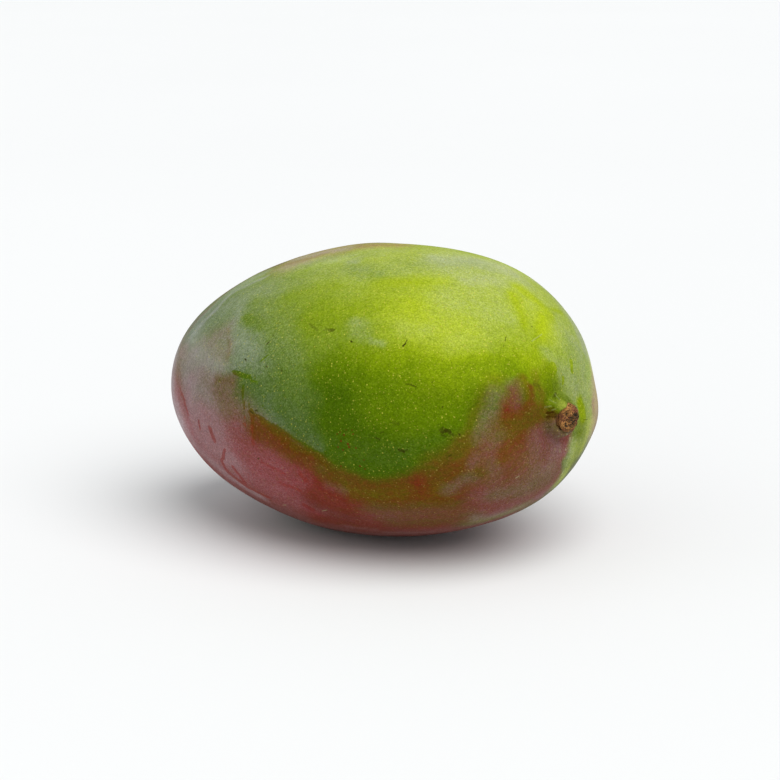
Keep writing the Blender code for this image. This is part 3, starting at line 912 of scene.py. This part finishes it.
class Shader:
    """Builds one material's nodes. Each method adds a node and gives its output."""

    def __init__(self, name):
        self.material = bpy.data.materials.new(name)
        self.material.use_nodes = True
        self.tree = self.material.node_tree
        self.surface = self.tree.nodes["Principled BSDF"]
        self.place = self.add("ShaderNodeTexCoord").outputs["Object"]

    def add(self, kind, inputs=None, **settings):
        node = self.tree.nodes.new(kind)
        for name, value in settings.items():
            setattr(node, name, value)
        for name, value in (inputs or {}).items():
            self.feed(node.inputs[name], value)
        return node

    def feed(self, socket, value):
        if isinstance(value, bpy.types.NodeSocket):
            self.tree.links.new(value, socket)
        else:
            socket.default_value = value

    def painted(self, name):
        return self.add("ShaderNodeAttribute", attribute_name=name).outputs["Fac"]

    def sum(self, a, b):
        return self.calculate("ADD", a, b)

    def times(self, a, b):
        return self.calculate("MULTIPLY", a, b)

    def calculate(self, operation, a, b):
        return self.add("ShaderNodeMath", {0: a, 1: b}, operation=operation).outputs[0]

    def step(self, low, high, value):
        """0 at low, 1 at high, and smooth between. With low above high it falls."""
        inputs = {"Value": value, "From Min": low, "From Max": high, "To Min": 0.0, "To Max": 1.0}
        return self.add("ShaderNodeMapRange", inputs, interpolation_type="SMOOTHSTEP").outputs[0]

    def rest(self, share):
        return self.calculate("SUBTRACT", 1.0, share)

    def fade(self, share, value):
        """value where share is 1, and 1 where it is 0."""
        return self.sum(self.rest(share), self.times(share, value))

    def span(self, low, high, value):
        """low where value is 0, high where it is 1."""
        inputs = {"Value": value, "From Min": 0.0, "From Max": 1.0, "To Min": low, "To Max": high}
        return self.add("ShaderNodeMapRange", inputs).outputs[0]

    def around(self, middle, reach, value):
        """reach below middle where value is 0, reach above it where it is 1."""
        return self.span(middle - reach, middle + reach, value)

    def mix(self, share, a, b, blend="MIX"):
        node = self.add("ShaderNodeMix", data_type="RGBA", blend_type=blend, clamp_factor=True)
        self.feed(node.inputs[MIX_SHARE], share)
        self.feed(node.inputs[MIX_FROM], a)
        self.feed(node.inputs[MIX_TO], b)
        return node.outputs[MIX_RESULT]

    def grain(self, size, detail=2.0, roughness=0.5, place=None):
        inputs = {"Vector": place or self.place, "Scale": 1 / size}
        inputs.update({"Detail": detail, "Roughness": roughness})
        return self.add("ShaderNodeTexNoise", inputs).outputs["Fac"]

    def vectors(self, operation, inputs, output=0):
        return self.add("ShaderNodeVectorMath", inputs, operation=operation).outputs[output]

    def bump(self, height, strength, depth):
        bump = self.add("ShaderNodeBump", {"Strength": strength, "Distance": depth, "Height": height})
        self.feed(self.surface.inputs["Normal"], bump.outputs[0])

    def ladder(self, steps, value):
        """A colour that climbs through steps of (value, colour)."""
        node = self.add("ShaderNodeValToRGB", {"Fac": value})
        ramp = node.color_ramp
        ramp.elements[0].position, ramp.elements[0].color = steps[0]
        ramp.elements[1].position, ramp.elements[1].color = steps[-1]
        for position, shade in steps[1:-1]:
            ramp.elements.new(position).color = shade
        return node.outputs["Color"]

    def stretched(self, along):
        """Coordinates in which patterns are drawn out along the fruit."""
        return self.add("ShaderNodeMapping", {"Vector": self.place, "Scale": (along, 1, 1)}).outputs[0]

    def radiating(self, origin, reach, along):
        """Coordinates in which patterns are drawn out along the rays from a point."""
        ray = self.vectors("SUBTRACT", {0: self.place, 1: origin})
        spread = self.vectors("SCALE", {0: self.vectors("NORMALIZE", {0: ray}), "Scale": reach})
        return self.vectors("MULTIPLY_ADD", {0: ray, 1: (along, along, along), 2: spread})

    def speckle(self, size):
        """A value from 0 to 1 that differs from grain to grain."""
        cells = self.add("ShaderNodeTexVoronoi", {"Vector": self.place, "Scale": 1 / size})
        return self.add("ShaderNodeSeparateColor", {"Color": cells.outputs["Color"]}).outputs[0]

    def dots(self, spacing, radius, softness, shift):
        """1 inside small dots that are scattered over the surface."""
        shifted = self.vectors("ADD", {0: self.place, 1: (shift, shift, shift)})
        cells = self.add("ShaderNodeTexVoronoi", {"Vector": shifted, "Scale": 1 / spacing})
        outer = (radius + softness) / spacing
        inner = (radius - softness) / spacing
        return self.step(outer, inner, cells.outputs["Distance"])

    def scar(self, start, end, radius, ragged):
        """1 inside a short stroke between two points, 0 outside. ragged, from 0 to 1, frays its edge."""
        middle = (start + end) / 2
        half = (end - start) / 2
        reach = max(np.linalg.norm(half), SHORTEST)
        along = half / reach
        offset = self.vectors("SUBTRACT", {0: self.place, 1: middle})
        way = self.vectors("DOT_PRODUCT", {0: offset, 1: along}, "Value")
        way = self.add("ShaderNodeClamp", {"Value": way, "Min": -reach, "Max": reach}).outputs[0]
        nearest = self.vectors("SCALE", {0: along, "Scale": way})
        away = self.vectors("DISTANCE", {0: offset, 1: nearest}, "Value")
        frayed = self.sum(away, self.around(0, SCAR_FRAY * radius, ragged))
        return self.step(SCAR_OUTER * radius, SCAR_INNER * radius, frayed)


def colour(red, green, blue):
    return (red, green, blue, 1.0)


# Sizes of the patterns in the skin
STREAK_SIZE = 2.2 * MM
STREAK_REACH = 30 * MM  # this far from the stalk, the streaks that run from it are as wide as their size
STREAK_SHORTENING = 0.22  # the smaller, the longer the streaks
CLOUD_SIZE = 6 * MM
CLOUD_SHORTENING = 0.5
MOTTLE_SIZE = 2.6 * MM
FINE_SIZE = 1.4 * MM
FINEST_SIZE = 0.32 * MM
SPECK_SIZE = 0.34 * MM
LIGHT_SPECK_SIZE = 0.30 * MM

# How far the patterns change the ripeness, the blush, the marks in the bloom and the lightness, each way
RIPE_BY_MOTTLE = 0.13
RIPE_BY_SPECKS = 0.08
BLUSH_BY_STREAKS = 0.22
BLUSH_BY_FINE = 0.20
BLUSH_BY_SPECKS = 0.07
BLUSH_BEGUN = 0.30  # from here on, they change the blush in full
WIPED_BY_FINE = 0.24
RUBBED_BY_FINE = 0.30
LIGHT_BY_SPECKS = 0.18
LIGHT_BY_FINEST = 0.22

# How far the patterns change the bloom, in shares of it
BLOOM_BY_CLOUDS = 0.45
BLOOM_BY_FINE = 0.30
BLOOM_BY_STREAKS = 0.45
BLOOM_BY_FINEST = 0.55
BLOOM_BY_SPECKS = 0.45
BLOOM_THINS = (0.45, 0.05)  # from thick bloom, which is even, to thin bloom, which is patchy
CLOUDS_IN_BLOOM = (0.45, 1.0)  # how much of the clouds shows in thick and in thin bloom
GRAINS_IN_BLOOM = (0.30, 0.90)
BLOOM_FILM = (-0.006, 0.008)

# The edge of the wiped and rubbed marks, and what they take away and show
MARK_EDGE = (0.34, 0.62)
WIPED_CLEAN = 0.88
RUBBED_CLEAN = 0.65
RUBBED_RED = 0.40

# Pores: spacing, radius, soft edge and shift of the pattern. Then how strong in deep green and in lime.
LARGE_PORES = (1.7 * MM, 0.18 * MM, 0.07 * MM, 0.3)
LARGE_PORE_STRENGTH = (0.40, 0.60)
SMALL_PORES = (0.92 * MM, 0.15 * MM, 0.06 * MM, 0.7)
SMALL_PORE_STRENGTH = (0.22, 0.38)

# Small marks, in shares of their radius: how far the edge frays, and between what it fades
SCAR_FRAY = 0.8
SCAR_OUTER = 1.3
SCAR_INNER = 0.5
RED_DOT_STRENGTH = 0.85

# Gloss and relief of the skin
SKIN_ROUGHNESS = (0.45, 0.85)  # of clean skin and of full bloom
SKIN_SPECULAR = 0.012
RELIEF_OF_FINEST = 0.4
RELIEF_OF_FINE = 0.8
RELIEF_OF_PORES = 1.2
RELIEF = (0.5, 0.05 * MM)  # strength and depth

# Reflectances of the skin
GREENS = (  # ripeness and colour, from deep green to lime
    (0.00, colour(0.050, 0.102, 0.0004)),
    (0.30, colour(0.100, 0.168, 0.0006)),
    (0.60, colour(0.190, 0.270, 0.0020)),
    (1.00, colour(0.360, 0.440, 0.0100)),
)
BRICK = colour(0.150, 0.022, 0.004)
CRIMSON = colour(0.235, 0.024, 0.026)
SCRAPED = colour(0.240, 0.034, 0.020)
BLOOM = colour(0.440, 0.430, 0.445)
PORE = colour(0.600, 0.530, 0.080)
PORE_IN_BLUSH = colour(0.360, 0.225, 0.090)
SCAR = colour(0.030, 0.026, 0.002)
STRIPE = colour(0.045, 0.018, 0.001)
RED_DOT = colour(0.120, 0.030, 0.004)
PALE = colour(0.420, 0.440, 0.220)
COLLAR_GREEN = colour(0.360, 0.410, 0.055)


def blushing_green(s, streaks, fine, specks):
    """Mottled green from deep to lime, and the blush over it, in streaks and specks where it has begun."""
    mottle = s.around(0, RIPE_BY_MOTTLE, s.grain(MOTTLE_SIZE, detail=4.0, roughness=0.6))
    mottle = s.sum(mottle, s.around(0, RIPE_BY_SPECKS, specks))
    green = s.ladder(GREENS, s.sum(s.painted("ripe"), mottle))
    uneven = s.sum(s.around(0, BLUSH_BY_FINE, fine), s.around(0, BLUSH_BY_SPECKS, specks))
    uneven = s.sum(s.around(0, BLUSH_BY_STREAKS, streaks), uneven)
    blush = s.painted("blush")
    begun = s.step(0.0, BLUSH_BEGUN, blush)
    red = s.mix(s.painted("crimson"), BRICK, CRIMSON)
    return s.mix(s.sum(blush, s.times(begun, uneven)), green, red)


def bloom_layer(s, skin, streaks, fine, finest, specks):
    """The skin under its bloom, which is wiped or rubbed off in places, and the share that is bloom."""
    wiped = s.step(*MARK_EDGE, s.sum(s.painted("wiped"), s.around(0, WIPED_BY_FINE, fine)))
    rubbed = s.step(*MARK_EDGE, s.sum(s.painted("rubbed"), s.around(0, RUBBED_BY_FINE, fine)))
    left = s.rest(s.calculate("MAXIMUM", s.times(wiped, WIPED_CLEAN), s.times(rubbed, RUBBED_CLEAN)))

    soft = s.grain(CLOUD_SIZE, detail=3.0, place=s.stretched(CLOUD_SHORTENING))
    clouds = s.times(s.around(1, BLOOM_BY_FINE, fine), s.around(1, BLOOM_BY_STREAKS, streaks))
    clouds = s.times(s.around(1, BLOOM_BY_CLOUDS, soft), clouds)
    grains = s.times(s.around(1, BLOOM_BY_FINEST, finest), s.around(1, BLOOM_BY_SPECKS, specks))
    bloom = s.painted("bloom")
    thin = s.step(*BLOOM_THINS, bloom)
    clouds = s.fade(s.span(*CLOUDS_IN_BLOOM, thin), clouds)
    grains = s.fade(s.span(*GRAINS_IN_BLOOM, thin), grains)

    dust = s.times(bloom, s.times(left, s.times(clouds, grains)))
    film = s.times(left, s.span(*BLOOM_FILM, specks))
    skin = s.mix(s.times(rubbed, RUBBED_RED), skin, SCRAPED)
    return s.mix(s.sum(dust, film), skin, BLOOM), dust


def pale_pores(s):
    """Where the pores are, large ones far apart and small ones between them."""
    ripe = s.painted("ripe")
    large = s.times(s.dots(*LARGE_PORES), s.span(*LARGE_PORE_STRENGTH, ripe))
    small = s.times(s.dots(*SMALL_PORES), s.span(*SMALL_PORE_STRENGTH, ripe))
    return s.calculate("MAXIMUM", large, small)


def with_small_marks(s, skin, seen, ragged):
    for marks, shade in ((SCARS, SCAR), (DARK_STRIPES, STRIPE), (PALE_LINES, PALE)):
        for start, end, radius, strength in marks:
            mask = s.scar(seen.at(start), seen.at(end), radius * MM, ragged)
            skin = s.mix(s.times(mask, strength), skin, shade)
    for pixel, radius in RED_DOTS:
        mask = s.scar(seen.at(pixel), seen.at(pixel), radius * MM, ragged)
        skin = s.mix(s.times(mask, RED_DOT_STRENGTH), skin, RED_DOT)
    return skin


def skin_material(seen, middle):
    s = Shader("mango_skin")
    rays = s.radiating(tuple(middle + STALK_SEAT), STREAK_REACH, STREAK_SHORTENING)
    streaks = s.grain(STREAK_SIZE, detail=4.0, roughness=0.6, place=rays)
    fine = s.grain(FINE_SIZE, detail=3.0, roughness=0.6)
    finest = s.grain(FINEST_SIZE, roughness=0.7)
    specks = s.speckle(SPECK_SIZE)

    skin = blushing_green(s, streaks, fine, specks)
    skin, dust = bloom_layer(s, skin, streaks, fine, finest, specks)
    pores = pale_pores(s)
    skin = s.mix(pores, skin, s.mix(s.painted("blush"), PORE, PORE_IN_BLUSH))
    skin = s.mix(s.times(s.painted("collar"), COLLAR_STRENGTH), skin, COLLAR_GREEN)
    skin = with_small_marks(s, skin, seen, finest)
    lightness = s.around(1, LIGHT_BY_SPECKS, s.speckle(LIGHT_SPECK_SIZE))
    lightness = s.times(lightness, s.around(1, LIGHT_BY_FINEST, finest))
    # The tone multiplies the colour: painted shade round the stub, painted sheen along the outline, and
    # random lightness
    skin = s.mix(1.0, skin, s.times(s.painted("tone_and_painted_light"), lightness), blend="MULTIPLY")

    s.feed(s.surface.inputs["Base Color"], skin)
    s.feed(s.surface.inputs["Roughness"], s.span(*SKIN_ROUGHNESS, dust))
    s.surface.inputs["Specular IOR Level"].default_value = SKIN_SPECULAR
    coarse = s.sum(s.times(fine, RELIEF_OF_FINE), s.times(pores, RELIEF_OF_PORES))
    s.bump(s.sum(s.times(finest, RELIEF_OF_FINEST), coarse), *RELIEF)
    return s.material


def build_stub(middle):
    """The dry stub: a neck in the socket under a crumbling, uneven head."""
    stub = ball("stalk_stub", STUB_SEGMENTS, STUB_RINGS)
    polar, turn = polar_and_turn(vertices_of(stub))
    shares, radii, heights = np.array(STUB_OUTLINE).T
    radius = np.interp(polar, shares, radii)
    height = np.interp(polar, shares, heights)
    uneven = 1 - STUB_OVAL * np.cos(2 * turn)
    for count, shift, wave in STUB_WAVES:
        uneven += wave * np.cos(count * turn + shift)
    radius *= uneven
    local = np.stack((radius * np.cos(turn), radius * np.sin(turn), height), axis=1)

    torn = smooth_step(*STUB_TORN, height)
    lumps = sum(noise_at(local, size, seed) * share for size, seed, share in STUB_LUMPS)
    local[:, 2] += torn * STUB_ROUGHNESS * np.minimum(lumps, STUB_HIGHEST_LUMP)
    local[:, 0] += STUB_ASIDE * smooth_step(-STUB_STANDS, 0, height)
    # The side wall below the torn end gets painted light
    crumb = lumps * torn + STUB_SIDE_PAINTED_LIGHT * (1 - torn)
    crumb -= STUB_DARKNESS * smooth_step(*STUB_DARK_SIDE, local[:, 0])
    crumb += STUB_LIGHTNESS * smooth_step(*STUB_LIGHT_TOP, local[:, 1])
    store(stub, "crumb", smooth_step(STUB_DARKEST, STUB_LIGHTEST, crumb))

    size, seed, reach = STUB_SIDE_LUMPS
    side_lumps = noise_at(local, size, seed) * (1 - torn) * reach
    local[:, :2] *= (1 + side_lumps / STUB_HEAD_RADIUS)[:, None]
    seat = middle + STALK_SEAT + STALK_UP * COLLAR_STANDS
    axes = np.stack((STALK_SIDE, STALK_TOP, STALK_UP))
    move_vertices(stub, local @ axes + seat)
    return stub


# Sizes of the patterns in the torn stalk, and how far they change its lightness each way
CRUMB_SIZE = 0.8 * MM
CORK_GRAIN_SIZE = 0.30 * MM
CORK_SPECK_SIZE = 0.34 * MM
RUST_SIZE = 2.2 * MM
CORK_BY_GRAIN = 0.35
CORK_BY_SPECKS = 0.34
OCHRE_EDGE = (0.46, 0.62)
RUST_EDGE = (0.52, 0.60)
TINT = 0.6  # share of the ochre and the rust where they are full
CORK_ROUGHNESS = 0.9
CORK_RELIEF = (0.8, 0.25 * MM)  # strength and depth
CORK_RELIEF_OF_GRAIN = 0.5

# Reflectances of the torn stalk, from its pits to its crumbs
CORKS = (
    (0.00, colour(0.010, 0.006, 0.001)),
    (0.25, colour(0.050, 0.022, 0.004)),
    (0.55, colour(0.165, 0.062, 0.010)),
    (1.00, colour(0.460, 0.210, 0.055)),
)
OCHRE = colour(0.190, 0.100, 0.014)
RUST = colour(0.200, 0.055, 0.024)


def stub_material():
    s = Shader("dry_stalk")
    crumbs = s.grain(CRUMB_SIZE, detail=5.0, roughness=0.75)
    fine = s.grain(CORK_GRAIN_SIZE, detail=3.0, roughness=0.7)
    specks = s.around(0, CORK_BY_SPECKS, s.speckle(CORK_SPECK_SIZE))
    grains = s.sum(s.around(0, CORK_BY_GRAIN, fine), specks)
    cork = s.ladder(CORKS, s.sum(s.painted("crumb"), grains))
    cork = s.mix(s.times(s.step(*OCHRE_EDGE, crumbs), TINT), cork, OCHRE)
    cork = s.mix(s.times(s.step(*RUST_EDGE, s.grain(RUST_SIZE, detail=3.0)), TINT), cork, RUST)
    s.feed(s.surface.inputs["Base Color"], cork)
    s.surface.inputs["Roughness"].default_value = CORK_ROUGHNESS
    s.bump(s.sum(crumbs, s.times(fine, CORK_RELIEF_OF_GRAIN)), *CORK_RELIEF)
    return s.material


# The floor and the light
FLOOR_RADIUS = 40
FLOOR_SEGMENTS = 128
FLOOR_CLOUD_SIZE = 0.4
FLOOR_SHADES = (colour(0.80, 0.80, 0.79), colour(0.83, 0.83, 0.82))
FLOOR_ROUGHNESS = 0.8
LAMPS = (  # name, shares of rightwards, upwards and towards the camera, strength, and size in degrees
    ("key", 0.45, 1.0, 0.55, 2.6, 60),
    ("fill", -0.9, 0.6, 0.7, 0.5, 90),
)
SURROUND = colour(0.92, 0.96, 1.0)
SURROUND_STRENGTH = 0.45


def build_floor():
    bpy.ops.mesh.primitive_circle_add(vertices=FLOOR_SEGMENTS, radius=FLOOR_RADIUS, fill_type="NGON")
    floor = bpy.context.object
    floor.name = "floor"
    s = Shader("pale_floor")
    shade = s.mix(s.grain(FLOOR_CLOUD_SIZE, detail=3.0), *FLOOR_SHADES)
    s.feed(s.surface.inputs["Base Color"], shade)
    s.surface.inputs["Roughness"].default_value = FLOOR_ROUGHNESS
    floor.data.materials.append(s.material)


def build_light():
    """A wide soft lamp from the upper right in front, a weak one from the left, and an even surround."""
    back, right, _ = camera_axes()
    for name, rightwards, upwards, forwards, strength, size in LAMPS:
        towards = rightwards * right + upwards * np.array((0, 0, 1)) + forwards * back
        data = bpy.data.lights.new(name, "SUN")
        data.energy = strength
        data.angle = math.radians(size)
        lamp = bpy.data.objects.new(name, data)
        lamp.rotation_mode = "QUATERNION"
        lamp.rotation_quaternion = Vector(unit(towards)).to_track_quat("Z", "Y")
        bpy.context.scene.collection.objects.link(lamp)
    world = bpy.data.worlds.new("surround")
    bpy.context.scene.world = world
    world.use_nodes = True
    background = world.node_tree.nodes["Background"]
    background.inputs["Color"].default_value = SURROUND
    background.inputs["Strength"].default_value = SURROUND_STRENGTH
    bpy.context.scene.view_settings.view_transform = "Standard"


def main():
    noise.seed_set(VECTOR_NOISE_SEED)
    skin, directions, middle = build_skin()
    camera = build_camera(middle)
    seen = SkinSeen(skin, camera)
    paint_skin(skin, directions, middle, seen)
    skin.data.materials.append(skin_material(seen, middle))
    stub = build_stub(middle)
    stub.data.materials.append(stub_material())

    for piece, node, slot in ((skin, "fruit", "mango_skin"), (stub, "stem_stub", "dry_stalk")):
        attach(piece, "root")
        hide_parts(node)

    build_floor()
    build_light()


main()
